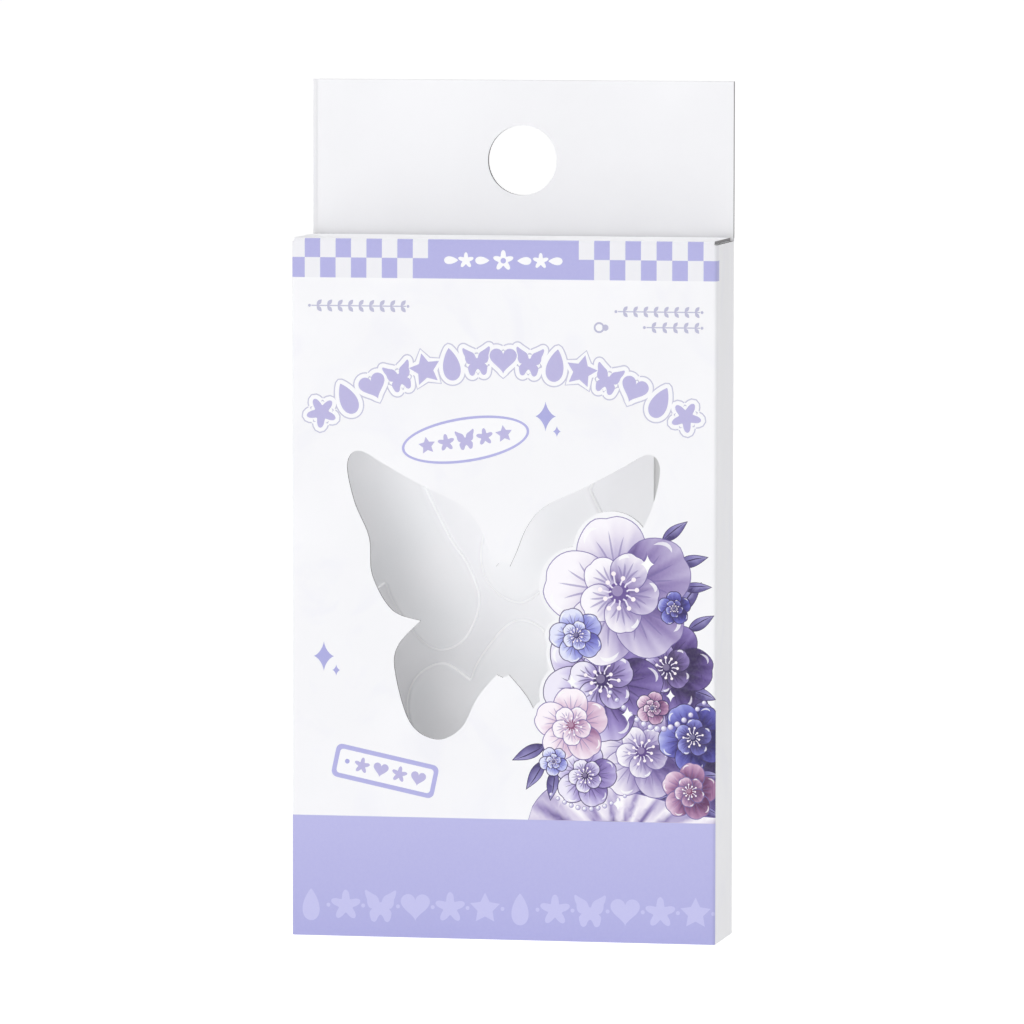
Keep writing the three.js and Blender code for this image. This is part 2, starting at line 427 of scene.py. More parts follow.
# The blooms that the window is cut round: x, z, radius and turn from shares of the window's size
CUT_BLOOMS = (
    share_bloom(0.741, 0.521, 0.492, 100),
    share_bloom(0.633, 0.217, 0.400, 62),
    share_bloom(0.440, 0.058, 0.245, 20),
    share_bloom(0.470, 0.370, 0.180, 36),
)
CUT_LOOKS = (
    (PALE_TONES, MID_LINE, (104, 80, 150)),
    (VIOLET_TONES, DARK_LINE, (60, 38, 100)),
    (PINK_TONES, MID_LINE, (140, 78, 122)),
    (BLUE_TONES, DARK_LINE, BLUE_HEART),
)
CUT_ORDER = (1, 0, 2, 3)

# Blooms behind and below those: x, z, radius, turn in degrees, tones, line and heart
BACK_BLOOMS = (
    (29.0, 48.0, 8.3, 70, VIOLET_TONES, DARK_LINE, VIOLET_HEART),
    (24.6, 33.4, 8.9, 15, PALE_TONES, MID_LINE, (88, 60, 132)),
    (33.6, 36.0, 6.4, 48, BLUE_TONES, DARK_LINE, (40, 30, 92)),
    (14.6, 29.0, 5.8, 80, VIOLET_TONES, DARK_LINE, VIOLET_HEART),
    (33.0, 26.6, 5.2, 10, PINK_TONES, MID_LINE, (126, 62, 104)),
)
SMALL_BLOOMS = (
    (30.2, 58.4, 3.1, 20, BLUE_TONES),
    (9.0, 31.4, 2.7, 50, BLUE_TONES),
    (26.4, 41.0, 3.1, 75, PINK_TONES),
)
SMALL_SEED = 5

# Leaves that stick out of the bouquet: x, z, length, width and turn in degrees
LEAVES = (
    (7.6, 34.2, 6.6, 2.4, 205), (7.4, 31.6, 6.2, 2.2, 238), (9.2, 30.0, 5.6, 2.2, 262),
    (30.6, 57.4, 7.2, 2.5, 52), (32.6, 54.6, 5.4, 2.1, 30), (28, 70, 5.8, 2.1, 38),
    (30.6, 66, 5.8, 2.2, 14), (24, 47, 6.2, 2.6, 300), (14.5, 33, 6.4, 2.4, 250),
    (26, 52, 6.5, 2.6, 8), (31.5, 62, 5.4, 1.9, 2),
)

# Strings of pearls: count, left end, span, height, sag, fall to the right, radius and swell
PEARL_STRINGS = (
    (15, 19, 16.5, 43.6, 5.4, 1.5, 0.42, 0.14),
    (12, 8.6, 13, 25.6, 2.4, 0, 0.36, 0.10),
)

# Glints on the bouquet: x, z and size
GLINTS = ((12.2, 45.4, 0.9), (22.0, 39.8, 1.0), (25.5, 66.0, 1.2), (20.4, 24.2, 0.9), (29.6, 43.2, 0.8))

THICKET_EDGE = ((9, 21), (11, 26), (14, 31), (19, 40), (25, 51), (31, 54), (34.5, 49), (36.2, 42),
                (38.5, 38.5), (38.5, 21))
THICKET_LEAVES = 64
THICKET_SEED = 11


def in_thicket(x, z):
    """Whether a leaf's end stays clear of the window and inside the bouquet's slanting outline."""
    return x > 10 + (z - 22) * 0.5 and x < 40 - max(0, z - 38) * 0.35 and z < 54


def thicket(art):
    """Dark leaves behind the blooms, kept inside a rough outline."""
    rng = random.Random(THICKET_SEED)
    art.add(spline(THICKET_EDGE, 4) + [THICKET_EDGE[-1]], lambda x, z, under: ramp(
        SHADOW_TONES, 0.5 + 0.3 * sin(x * 0.9 + z * 0.5) + 0.2 * sin(x * 0.4 - z * 1.1)))
    for _ in range(THICKET_LEAVES):
        x, z = rng.uniform(12, 36), rng.uniform(22, 50)
        angle = rng.uniform(0, 2 * pi)
        length = rng.uniform(3.6, 6.4)
        if in_thicket(x, z) and in_thicket(*polar(x, z, length, angle)):
            leaf(art, x, z, length, rng.uniform(1.4, 2.4), angle)


DRAPE_LEFT = 4.4
DRAPE_WIDTH = 34.4
DRAPE_FOOT = 20.5
DRAPE_EDGE = 0.7
DRAPE_RISE = 6.2
DRAPE_CORNER = 0.14
DRAPE_LINE = 0.2
FAN_MIDDLE = (21, 16)


def drape(art):
    """Satin gathered along the foot of the bouquet, with folds that fan out from a point below."""
    steps = [k / 40 for k in range(41)]
    lower = [(DRAPE_LEFT + DRAPE_WIDTH * t, DRAPE_FOOT) for t in steps]
    upper = []
    for t, (x, z) in zip(steps, lower):
        full = DRAPE_EDGE + DRAPE_RISE * sin(pi * min(0.99, 0.16 + 0.98 * t)) ** 0.7
        full += 0.5 * sin(9 * t)
        rounding = sqrt(1 - max(0.0, 1 - t / DRAPE_CORNER) ** 2)
        upper.append((x, z + 0.02 + full * rounding))
    art.add(lower + [(x, z + DRAPE_LINE) for x, z in upper[::-1]], MID_LINE)

    def silk(x, z, under):
        fan = atan2(z - FAN_MIDDLE[1], x - FAN_MIDDLE[0])
        return ramp(SATIN_TONES, 0.62 + 0.34 * sin(fan * 15 + 0.4 * z)
                    + 0.16 * sin(fan * 37) - 0.05 * (23 - z))

    art.add(lower + upper[::-1], silk)
    for x in range(5, 38):
        for z in (20.8, 21.8, 22.8, 23.8, 24.8, 25.8):
            art.extra.extend([(x + 0.13, z), (x + 0.63, z + 0.4)])


def bouquet(art):
    thicket(art)
    drape(art)
    for x, z, length, wide, turn in LEAVES:
        leaf(art, x, z, length, wide, radians(turn))
    for seed, (x, z, radius, turn, *look) in enumerate(BACK_BLOOMS):
        bloom(art, x, z, radius, radians(turn), *look, seed)
    for index in CUT_ORDER:
        bloom(art, *CUT_BLOOMS[index], *CUT_LOOKS[index], index + 7)
    for x, z, radius, turn, tones in SMALL_BLOOMS:
        bloom(art, x, z, radius, radians(turn), tones, DARK_LINE, BLUE_HEART, SMALL_SEED)
    for count, left, span, height, sag, fall, radius, swell in PEARL_STRINGS:
        for k in range(count):
            t = k / (count - 1)
            arc = sin(pi * t)
            pearl(art, left + span * t, height - sag * arc - fall * t, radius + swell * arc)
    for x, z, size in GLINTS:
        sparkle(art, x, z, size * 1.4, size, BRIGHT)


def wheel(reach):
    """An outline whose points lie at even turns from the top, each at its own distance."""
    return [(r * sin(t), r * cos(t)) for r, t in zip(reach, turns(len(reach)))]


# Small motifs, about one unit tall and drawn round the origin
GLYPHS = {
    "butterfly": [(u * 0.5, v - 0.5) for u, v in mirrored(WINDOW_STRETCHES, 0)],
    "flower": wheel([0.36 + 0.13 * cos(5 * t) for t in turns(60)]),
    "heart": [(0.029 * 16 * sin(t) ** 3,
               0.029 * (13 * cos(t) - 5 * cos(2 * t) - 2 * cos(3 * t) - cos(4 * t))
               + 0.05) for t in turns(60)],
    "drop": [(0.34 * sin(t) * sin(t / 2) ** 0.8, 0.5 * cos(t)) for t in turns(48)],
    "star": wheel((0.5, 0.25) * 5),
}

ARCH_TOP = 101.0
ARCH_BEND = 0.0091
ARCH_HALF = 32.2
GARLAND = ("flower", "drop", "heart", "butterfly", "star", "drop", "butterfly", "heart", "butterfly",
           "drop", "star", "butterfly", "heart", "drop", "flower")
GARLAND_SIZES = {"butterfly": 4.9, "flower": 5.5, "heart": 5.2, "drop": 5.7, "star": 5.8}
GARLAND_LINE = 0.95
GARLAND_GAP = 0.72


def garland(art):
    """Motifs on an arch across the front, with one line round them all."""
    bodies = []
    for k, kind in enumerate(GARLAND):
        x = -ARCH_HALF + 2 * ARCH_HALF * k / (len(GARLAND) - 1)
        slope = atan(-2 * ARCH_BEND * x)
        body = turned(GLYPHS[kind], x, ARCH_TOP - ARCH_BEND * x * x, slope, GARLAND_SIZES[kind])
        bodies.append(body if area(body) > 0 else body[::-1])
    for grow, ink in ((GARLAND_LINE, LILAC_LINE), (GARLAND_GAP, WHITE), (0, TITLE_LILAC)):
        for body in bodies:
            art.add(inset(body, -grow), ink)


SPRIG_STEM = 0.20
SPRIG_DOT = 0.26
SPRIG_DOT_GAP = 0.35
BLADE_LENGTH = 0.64  # the blade's sizes are shares of the sprig's height
BLADE_WIDTH = 0.17
BLADE_PITCH = 0.86
BLADE_TURN = 0.85


def sprig(art, x0, x1, z, tall):
    """A thin vine with leaves in pairs and a dot at each end."""
    count = max(3, int((x1 - x0) / (tall * BLADE_PITCH)))
    art.stroke([(x0, z), ((x0 + x1) / 2, z), (x1, z)], SPRIG_STEM, LILAC_GREY, taper=False)
    edge = [(BLADE_LENGTH * tall * t, BLADE_WIDTH * tall * sin(pi * t))
            for t in (0, 0.2, 0.4, 0.6, 0.8, 1)]
    blade = edge + [(u, -v) for u, v in edge[-2:0:-1]]
    for k in range(count):
        x = x0 + (x1 - x0) * (k + 0.5) / count
        for side in (1, -1):
            art.add(turned(blade, x, z + 0.04 * side, side * BLADE_TURN), LILAC_GREY)
    art.add(circle(x0 - SPRIG_DOT_GAP, z, SPRIG_DOT, 16), LILAC_GREY)
    art.add(circle(x1 + SPRIG_DOT_GAP, z, SPRIG_DOT, 16), LILAC_GREY)


# Badges: x, z and turn; then the motifs in each: kind, place along it and size
OVAL_PLACE = (-6.65, 87.15, radians(9.3))
OVAL_HALF = (11.4, 3.9)
OVAL_LINE = 0.45
OVAL_ROW = (("star", -6.9, 3.1), ("flower", -3.45, 3.1), ("butterfly", 0, 3.4), ("flower", 3.45, 3.1),
            ("star", 6.9, 3.1))
BOX_PLACE = (-20.9, 29.1, radians(-11.8))
BOX_HALF = (9.3, 2.95)
BOX_LINE = 0.8
BOX_CORNER = 1.1
BOX_HOLLOW_CORNER = 0.6
BOX_ROW = (("flower", -4.2, 2.9), ("heart", -0.8, 2.9), ("flower", 2.6, 2.9), ("heart", 6.0, 2.9))
BOX_DOT = (-6.9, 0.15)
BOX_DOT_SIZE = 0.42


def badge(art, place, outer, hollow, row):
    """An outline with a row of small motifs in it."""
    art.add(turned(outer, *place), LILAC)
    art.add(turned(hollow, *place), WHITE)
    for kind, along, size in row:
        spot = turned([(along, 0)], *place)[0]
        art.add(turned(GLYPHS[kind], *spot, place[2], size), TITLE_LILAC)


def badges(art):
    """An oval and a rounded box. The box has a dot before its motifs."""
    ovals = []
    for trim in (0, OVAL_LINE):
        wide, tall = (half - trim for half in OVAL_HALF)
        ovals.append([(wide * cos(t), tall * sin(t)) for t in turns(72)])
    badge(art, OVAL_PLACE, *ovals, OVAL_ROW)
    hollow = rounded_box(*(half - BOX_LINE for half in BOX_HALF), BOX_HOLLOW_CORNER)
    badge(art, BOX_PLACE, rounded_box(*BOX_HALF, BOX_CORNER), hollow, BOX_ROW)
    art.add(circle(*turned([BOX_DOT], *BOX_PLACE)[0], BOX_DOT_SIZE, 16), LILAC_DEEP)


CHECK = 2.74
CHECK_FOOT = 115.1
CHECK_SPLIT = 118.6
CHECK_WRAP = 2.3  # how far the band goes on round the carton's corners
CHECK_CELLS = 4  # lilac cells in a row at each side
UPPER_START = 16.0
LOWER_START = 18.75
PLAIN_UPPER = 13.3
PLAIN_LOWER = 16.0


def checks(art, top):
    """The checked band along the top: two rows of cells at each side of a plain middle."""
    far = RIGHT + CHECK_WRAP
    for half, low, high, ink in ((far, CHECK_FOOT, top, PALE_CELL), (PLAIN_UPPER, CHECK_SPLIT, top, LILAC),
                                 (PLAIN_LOWER, CHECK_FOOT, CHECK_SPLIT, LILAC)):
        art.add([(-half, low), (half, low), (half, high), (-half, high)], ink)
    for side in (1, -1):
        for k in range(CHECK_CELLS):
            upper, lower = (start + 2 * k * CHECK for start in (UPPER_START, LOWER_START))
            lower_end = far if k == CHECK_CELLS - 1 else lower + CHECK
            for inner, outer, low, high in ((upper, upper + CHECK, CHECK_SPLIT, top),
                                            (lower, lower_end, CHECK_FOOT, CHECK_SPLIT)):
                cell = [(inner, low), (outer, low), (outer, high), (inner, high)]
                art.add([(side * x, z) for x, z in cell], LILAC)


# Motifs on the top band: kind, x and size
TOP_ROW = (("flower", 0, 3.8), ("drop", 3.7, 2.5), ("drop", -3.7, 2.5), ("flower", 6.6, 2.9),
           ("flower", -6.6, 2.9), ("drop", 9.2, 2.5), ("drop", -9.2, 2.5))
TOP_ROW_Z = CHECK_SPLIT - 0.3
FOOT_BAND_TOP = 21.1
FOOT_BAND_HALF = 40
FOOT_BAND_PALE = (187, 186, 232)
FOOT_ROW = ("drop", "flower", "butterfly", "heart", "flower", "star") * 2
FOOT_ROW_START = -34.1
FOOT_ROW_PITCH = 6.2
FOOT_ROW_Z = 5.4
FOOT_ROW_SIZE = 5.6
FOOT_DOT = 0.36


def bands(art):
    """The checked band with its row of motifs, and the plain band along the foot."""
    checks(art, TOP)
    for kind, x, size in TOP_ROW:
        turn = copysign(pi / 2, x) if kind == "drop" else 0
        art.add(turned(GLYPHS[kind], x, TOP_ROW_Z, turn, size), WHITE)
    art.add(circle(0, TOP_ROW_Z, 0.48, 18), LILAC)
    half, top = FOOT_BAND_HALF, FOOT_BAND_TOP
    art.add([(-half, 0), (half, 0), (half, top), (-half, top)],
            lambda x, z, under: mix(LILAC_DEEP, FOOT_BAND_PALE, 0.25 + z / top))
    for k, kind in enumerate(FOOT_ROW):
        x = FOOT_ROW_START + FOOT_ROW_PITCH * k
        art.add(turned(GLYPHS[kind], x, FOOT_ROW_Z, 0, FOOT_ROW_SIZE), LILAC_FAINT)
        art.add(circle(x + FOOT_ROW_PITCH / 2, FOOT_ROW_Z, FOOT_DOT, 14), LILAC_FAINT)


# Sprigs in the upper corners: left end, right end, z and height
SPRIGS = ((-34.0, -17.2, 110.2, 2.1), (20.2, 34.6, 109.7, 1.9), (25.2, 34.6, 107.0, 1.9))

# The small ring beside them: x, radius, corners and ink of each disc
RING_Z = 106.9
RING = ((16.9, 0.95, 24, LILAC_GREY), (16.9, 0.62, 20, WHITE), (18.0, 0.55, 20, LILAC_GREY))

# Sparkles on the white: x, z and size
SPARKLES = ((7.5, 91.4, 2.65), (9.5, 88.8, 1.0), (-31.8, 49.0, 2.65), (-29.6, 46.6, 1.0))


def front_print():
    art = Print()
    for row in SPRIGS:
        sprig(art, *row)
    for x, radius, count, ink in RING:
        art.add(circle(x, RING_Z, radius, count), ink)
    garland(art)
    badges(art)
    for x, z, size in SPARKLES:
        sparkle(art, x, z, size, 0.70 * size, LILAC_DEEP)
    bouquet(art)
    bands(art)
    return art


# Board shells made from a flat blank

def triangulate(outline, shapes=(), lines=(), extra=()):
    """Triangles over the outline, split by the shapes' edges and the lines, and for each the indices
    of the shapes that hold it. Shape 0 is the outline."""
    points, edges = [], []

    def put(loop):
        start = len(points)
        points.extend(Vector(p) for p in loop)
        return list(range(start, len(points)))

    for shape in (outline, *shapes):
        edges += sides(put(shape))
    for line in lines:
        edges.append(tuple(put(line)))
    put(extra)
    found, _, triangles, _, _, _ = delaunay_2d_cdt(points, edges, [], 0, 1e-5, False)
    places = np.array(found)
    middles = places[np.array(triangles)].mean(1)
    owners = [[] for _ in triangles]
    for index, shape in enumerate((outline, *shapes)):
        for k in held_by(middles, np.array(shape)):
            owners[k].append(index)
    kept = [(tuple(t), o) for t, o in zip(triangles, owners) if o and o[0] == 0]
    return [tuple(p) for p in found], kept


def held_by(points, starts, ends=None):
    """The indices of the points that lie inside an outline, or inside the loops of the edges."""
    low, high = starts.min(0), starts.max(0)
    near = np.nonzero(((points > low) & (points < high)).all(1))[0]
    x, z = points[near, 0][:, None], points[near, 1][:, None]
    a, b = starts, np.roll(starts, -1, axis=0) if ends is None else ends
    rise = np.where(a[:, 1] == b[:, 1], 1.0, b[:, 1] - a[:, 1])
    crossing = a[:, 0] + (z - a[:, 1]) * (b[:, 0] - a[:, 0]) / rise
    hits = ((a[:, 1] > z) != (b[:, 1] > z)) & (x < crossing)
    return near[hits.sum(1) % 2 == 1]


def linear(colour):
    return [(c / 255 / 12.92) if c < 10.3 else ((c / 255 + 0.055) / 1.055) ** 2.4 for c in colour]


def finish_mesh(name, vertices, faces, slots, materials):
    mesh = bpy.data.meshes.new(name)
    mesh.from_pydata([Vector(v) * MM for v in vertices], [], faces)
    mesh.polygons.foreach_set("material_index", slots)
    for material in materials:
        mesh.materials.append(material)
    mesh.polygons.foreach_set("use_smooth", [True] * len(faces))
    mesh.set_sharp_from_angle(angle=SHARP_ANGLE)
    mesh.update()
    piece = bpy.data.objects.new(name, mesh)
    bpy.context.scene.collection.objects.link(piece)
    return piece


def packed(triangles):
    """The indices that the triangles or edges use, and the same in terms of their places there."""
    used = sorted({v for t in triangles for v in t})
    number = {v: k for k, v in enumerate(used)}
    return used, [tuple(number[v] for v in t) for t in triangles]


def open_edges(faces):
    """The edges that only one of the triangles has."""
    rim = {}
    for a, b, c in faces:
        for edge in ((a, b), (b, c), (c, a)):
            if rim.pop(edge[::-1], None) is None:
                rim[edge] = True
    return list(rim)


def flat_solid(name, points, triangles, near, far, materials, lip=None):
    """A closed solid over flat triangles in x and z, from a y for each point to one plane. Faces whose
    points are all marked in lip, and the rim, take the second material; for a sticker that is the gel with
    a painted highlight."""
    used, faces = packed([t for t, _ in triangles])
    count = len(used)
    face = [(points[v][0], near[v], points[v][1]) for v in used]
    back = [(points[v][0], far, points[v][1]) for v in used]
    rim = open_edges(faces)
    faces += [(count + c, count + b, count + a) for a, b, c in faces]
    faces += [(b, a, count + a, count + b) for a, b in rim]
    slots = [0] * len(faces)
    if lip is not None:
        for k, (triangle, _) in enumerate(triangles):
            slots[k] = int(all(lip[v] for v in triangle))
        slots[-len(rim):] = [1] * len(rim)
    return finish_mesh(name, face + back, faces, slots, materials)


def back_face(spots, rim, lines):
    """Plain triangles over the area that the rim encloses, split along the lines."""
    rim_points, edges = packed(rim)
    points = [Vector(spots[v]) for v in rim_points]
    for line in lines:
        edges.append((len(points), len(points) + 1))
        points.extend(Vector(p) for p in line)
    found, _, triangles, _, _, _ = delaunay_2d_cdt(points, edges, [], 0, 1e-5, False)
    places = np.array(found)
    starts, ends = (np.array([spots[edge[k]] for edge in rim]) for k in (0, 1))
    inside = held_by(places[np.array(triangles)].mean(1), starts, ends)
    used, kept = packed([triangles[k] for k in inside])
    return [tuple(found[v]) for v in used], kept


def middle_of(triangle, points):
    return [sum(points[v][k] for v in triangle) / 3 for k in (0, 1)]


def board_shell(name, flat_points, triangles, place, thickness, materials, lines, inks=None,
                inner_slot=lambda u, z: 1):
    """A closed solid: the placed triangles, plain ones a board's thickness behind them, and a wall
    along each open edge. Materials are those of the outer face, the inner face and the cut edge,
    and inner_slot may choose another for a place on the inner face."""
    used, faces = packed([t for t, _ in triangles])
    spots = [flat_points[v] for v in used]
    vertices = [place(*spot)[0] for spot in spots]
    slots = [0] * len(faces)
    colours = []
    if inks:
        for face, (_, owners) in zip(faces, triangles):
            stack = [inks[o] for o in owners if o in inks]
            for v in face:
                colour = None
                for ink in stack:
                    colour = ink(*spots[v], colour or WHITE)
                colours.extend((*linear(colour), 1.0) if colour else (0.0, 0.0, 0.0, 0.0))
    rim = open_edges(faces)
    back_spots, back = back_face(spots, rim, lines)
    count = len(vertices)
    tree = KDTree(len(back_spots))
    for k, spot in enumerate(back_spots):
        point, normal = place(*spot)
        vertices.append(point - normal * thickness)
        tree.insert((*spot, 0), k)
    tree.balance()
    behind = {v: count + tree.find((*spots[v], 0))[1] for edge in rim for v in edge}
    faces += [(count + c, count + b, count + a) for a, b, c in back]
    slots += [inner_slot(*middle_of(t, back_spots)) for t in back]
    faces += [(b, a, behind[a], behind[b]) for a, b in rim]
    slots += [2] * len(rim)
    piece = finish_mesh(name, vertices, faces, slots, materials)
    if inks:
        total = sum(len(f) for f in faces)
        colours.extend([0.0] * (4 * total - len(colours)))
        layer = piece.data.color_attributes.new("ink", "FLOAT_COLOR", "CORNER")
        layer.data.foreach_set("color", colours)
    return piece


# The wrap: left, front, right and back panels in one. u is x on the front panel.
ARC = pi / 2 * FOLD_RADIUS
FRONT_END = RIGHT - FOLD_RADIUS
SIDE_START = FRONT_END + ARC
SIDE_END = SIDE_START + (BACK - FRONT - 2 * FOLD_RADIUS)
BACK_START = SIDE_END + ARC
BACK_END = BACK_START + 2 * RIGHT - FOLD_RADIUS
LEFT_START = -SIDE_START - (BACK - BOARD - FRONT - FOLD_RADIUS)
TAB_EDGE = (SIDE_END + BACK_START) / 2
FRONT_TOP = TOP - CREASE_RADIUS
TAB_EASE = 0.6  # height over which the rear fold opens into the flat tab
EASE_STEPS = 4
INK_REACH = 0.875  # how far round a fold the print goes


def round_fold(x, y, z, turn):
    """A point on a fold round the upright line through x and y, and which way its face looks.
    The turn runs from the front."""
    way = Vector((sin(turn), -cos(turn), 0))
    return Vector((x, y, z)) + FOLD_RADIUS * way, way


def wrap_place(u, z):
    """Where a point of the blank lies on the folded carton, and which way its face looks."""
    front_fold = FRONT + FOLD_RADIUS
    if u <= -SIDE_START:
        return Vector((-RIGHT, front_fold - SIDE_START - u, z)), Vector((-1, 0, 0))
    if u < -FRONT_END:
        return round_fold(-FRONT_END, front_fold, z, (u + FRONT_END) / FOLD_RADIUS)
    if u <= FRONT_END:
        return Vector((u, FRONT, z)), Vector((0, -1, 0))
    if u <= SIDE_START:
        return round_fold(FRONT_END, front_fold, z, (u - FRONT_END) / FOLD_RADIUS)
    if u <= SIDE_END:
        return Vector((RIGHT, front_fold + u - SIDE_START, z)), Vector((1, 0, 0))
    if u <= BACK_START:
        turn = pi / 2 + (u - SIDE_END) / FOLD_RADIUS
        folded, way = round_fold(FRONT_END, BACK - FOLD_RADIUS, z, turn)
        ease = min(max((z - SIDE_TOP) / TAB_EASE, 0.0), 1.0)
        reach = min((BACK_START - u) / (BACK_START - TAB_EDGE), 1.0)
        straight = Vector((FRONT_END + FOLD_RADIUS * reach, BACK, z))
        return folded.lerp(straight, ease), way.lerp(Vector((0, 1, 0)), ease).normalized()
    return Vector((FRONT_END - (u - BACK_START), BACK, z)), Vector((0, 1, 0))


def between_steps(start, end, count):
    return [start + (end - start) * k / count for k in range(count + 1)]


def carton_wrap(materials):
    art = front_print()
    step_left, step_right = (-SIDE_START - FRONT_END) / 2, (SIDE_START + FRONT_END) / 2
    outline = [
        (LEFT_START, 0), (BACK_END, 0), (BACK_END, TAB_TOP), (TAB_EDGE, TAB_TOP), (TAB_EDGE, SIDE_TOP),
        (step_right, SIDE_TOP), (FRONT_END, FRONT_TOP), (-FRONT_END, FRONT_TOP), (step_left, SIDE_TOP),
        (LEFT_START, SIDE_TOP),
    ]
    lines = []
    for start, end in ((-SIDE_START, -FRONT_END), (FRONT_END, SIDE_START), (SIDE_END, BACK_START)):
        lines += [((u, 0), (u, SIDE_TOP)) for u in between_steps(start, end, FOLD_STEPS)]
    eased = SIDE_TOP + TAB_EASE
    lines += [((TAB_EDGE, z), (BACK_START, z)) for z in between_steps(SIDE_TOP, eased, EASE_STEPS)]
    lines += [((u, SIDE_TOP), (u, eased)) for u in between_steps(TAB_EDGE, BACK_START, EASE_STEPS)]
    lines.append(((BACK_START, TOP), (BACK_END, TOP)))
    hole_middle = (BACK_START + FRONT_END, TAB_TOP - HOLE_DROP)
    shapes = [window_outline(), circle(*hole_middle, HOLE_RADIUS, 96)]
    for x, z, radius, turn in CUT_BLOOMS:
        spread = PETAL_SPREAD * radius
        shapes.append(circle(x, z, spread, DISC_POINTS))
        for k in range(PETALS):
            middle = polar(x, z, spread, turn + 2 * pi * k / PETALS)
            shapes.append(circle(*middle, PETAL_SIZE * radius + BLOOM_BORDER, DISC_POINTS))
    window, hole, first_disc, first_ink = 1, 2, 3, 1 + len(shapes)
    points, triangles = triangulate(outline, shapes + art.outlines, lines, art.extra)
    inks = {first_ink + k: ink for k, ink in enumerate(art.inks)}
    kept = []
    for triangle, owners in triangles:
        on_bloom = any(first_disc <= o < first_ink for o in owners)
        if hole in owners or (window in owners and not on_bloom):
            continue
        across, up = middle_of(triangle, points)
        if up < CHECK_FOOT and abs(across) > FRONT_END + INK_REACH * ARC:
            owners = []
        kept.append((triangle, owners))
    # Slot 3, on the front panel's inner face, is the material with the painted glow of light through the
    # board
    wrap = board_shell("carton_wrap", points, kept, wrap_place, BOARD, materials, lines, inks,
                       lambda u, z: 3 if abs(u) <= FRONT_END else 0 if z > TOP else 1)
    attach(wrap, "carton")
    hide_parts("front_panel", "left_side_panel", "right_side_panel", "back_panel")


# The lid: its panel, the crease behind it and the tuck flap. s runs from the front crease.
LID_FLAT = LID_BACK - FRONT - CREASE_RADIUS - FOLD_RADIUS
TUCK_TURN = pi / 2 + TUCK_LEAN
TUCK_ARC = FOLD_RADIUS * TUCK_TURN
LID_NOTCH = 0.5
LID_BEVEL = 0.4
CREASE_HALF = LID_RIGHT - 0.1


def lid_place(x, s):
    if s <= LID_FLAT:
        return Vector((x, FRONT + CREASE_RADIUS + s, TOP)), Vector((0, 0, 1))
    turn = min((s - LID_FLAT) / FOLD_RADIUS, TUCK_TURN)
    way = Vector((0, sin(turn), cos(turn)))
    point = Vector((x, LID_BACK - FOLD_RADIUS, TOP - FOLD_RADIUS)) + FOLD_RADIUS * way
    down = Vector((0, cos(turn), -sin(turn)))
    return point + down * max(0.0, s - LID_FLAT - TUCK_ARC), way


def top_lid(materials):
    flap_side = LID_RIGHT - TUCK_SIDE_INSET
    end = LID_FLAT + TUCK_ARC + TUCK_LENGTH - FOLD_RADIUS
    half = [(CREASE_HALF, 0), (LID_RIGHT, LID_BEVEL), (LID_RIGHT, LID_FLAT - LID_BEVEL),
            (LID_RIGHT - LID_NOTCH, LID_FLAT), (flap_side + LID_NOTCH, LID_FLAT),
            (flap_side, LID_FLAT + TUCK_ARC)]
    for t in between_steps(0, pi / 2, 12):
        half.append(polar(flap_side - TUCK_CORNER, end - TUCK_CORNER, TUCK_CORNER, t))
    outline = half + [(-x, s) for x, s in half[::-1]]
    lines = [((-flap_side, s), (flap_side, s))
             for s in between_steps(LID_FLAT, LID_FLAT + TUCK_ARC, FOLD_STEPS)]
    points, triangles = triangulate(outline, (), lines)
    lid = board_shell("lid_and_tuck_flap", points, triangles, lid_place, BOARD, materials, lines)
    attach(lid, "lid")
    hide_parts("top_lid")


CREASE_INK = 0.625  # how far round the lid's crease the checked band goes


def lid_crease(materials):
    """The bent strip of board between the front panel and the lid."""
    def place(x, s):
        way = Vector((0, -cos(s / CREASE_RADIUS), sin(s / CREASE_RADIUS)))
        return Vector((x, FRONT + CREASE_RADIUS, FRONT_TOP)) + CREASE_RADIUS * way, way

    arc = CREASE_RADIUS * pi / 2
    half = CREASE_HALF
    lines = [((-half, s), (half, s)) for s in between_steps(0, arc, FOLD_STEPS)[1:-1]]
    art = Print()
    checks(art, FRONT_TOP + CREASE_INK * arc)
    cells = [[(x, z - FRONT_TOP) for x, z in outline] for outline in art.outlines]
    points, triangles = triangulate([(-half, 0), (half, 0), (half, arc), (-half, arc)], cells, lines)
    inks = {1 + k: ink for k, ink in enumerate(art.inks)}
    crease = board_shell("lid_crease", points, triangles, place, BOARD, materials, lines, inks)
    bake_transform(crease)


# The sheet and the stickers

def nearest(points, outline):
    """The distance from each point to the outline."""
    p = np.array(points)[:, None, :]
    a = np.array(outline)[None, :, :]
    b = np.roll(a, -1, axis=1)
    along = b - a
    share = np.clip(((p - a) * along).sum(2) / np.maximum((along ** 2).sum(2), 1e-12), 0, 1)
    return np.sqrt((((a + share[..., None] * along) - p) ** 2).sum(2)).min(1)


def inset(outline, distance):
    """The outline moved inwards, each point along its own normal."""
    moved = []
    for k, (x, z) in enumerate(outline):
        ax, az = outline[k - 1]
        bx, bz = outline[(k + 1) % len(outline)]
        length = hypot(bx - ax, bz - az) or 1.0
        moved.append((x - (bz - az) / length * distance, z + (bx - ax) / length * distance))
    return moved


def sticker_outline(node):
    """The sticker's outline in x and z, scaled to its CAD node."""
    low, high = corners(node)
    unit = mirrored(STICKER_STRETCHES, 1)
    across, up = [p[0] for p in unit], [p[1] for p in unit]
    outline = [(low.x + (u - min(across)) / (max(across) - min(across)) * (high.x - low.x),
                low.z + (v - min(up)) / (max(up) - min(up)) * (high.z - low.z)) for u, v in unit]
    return outline if area(outline) > 0 else outline[::-1]


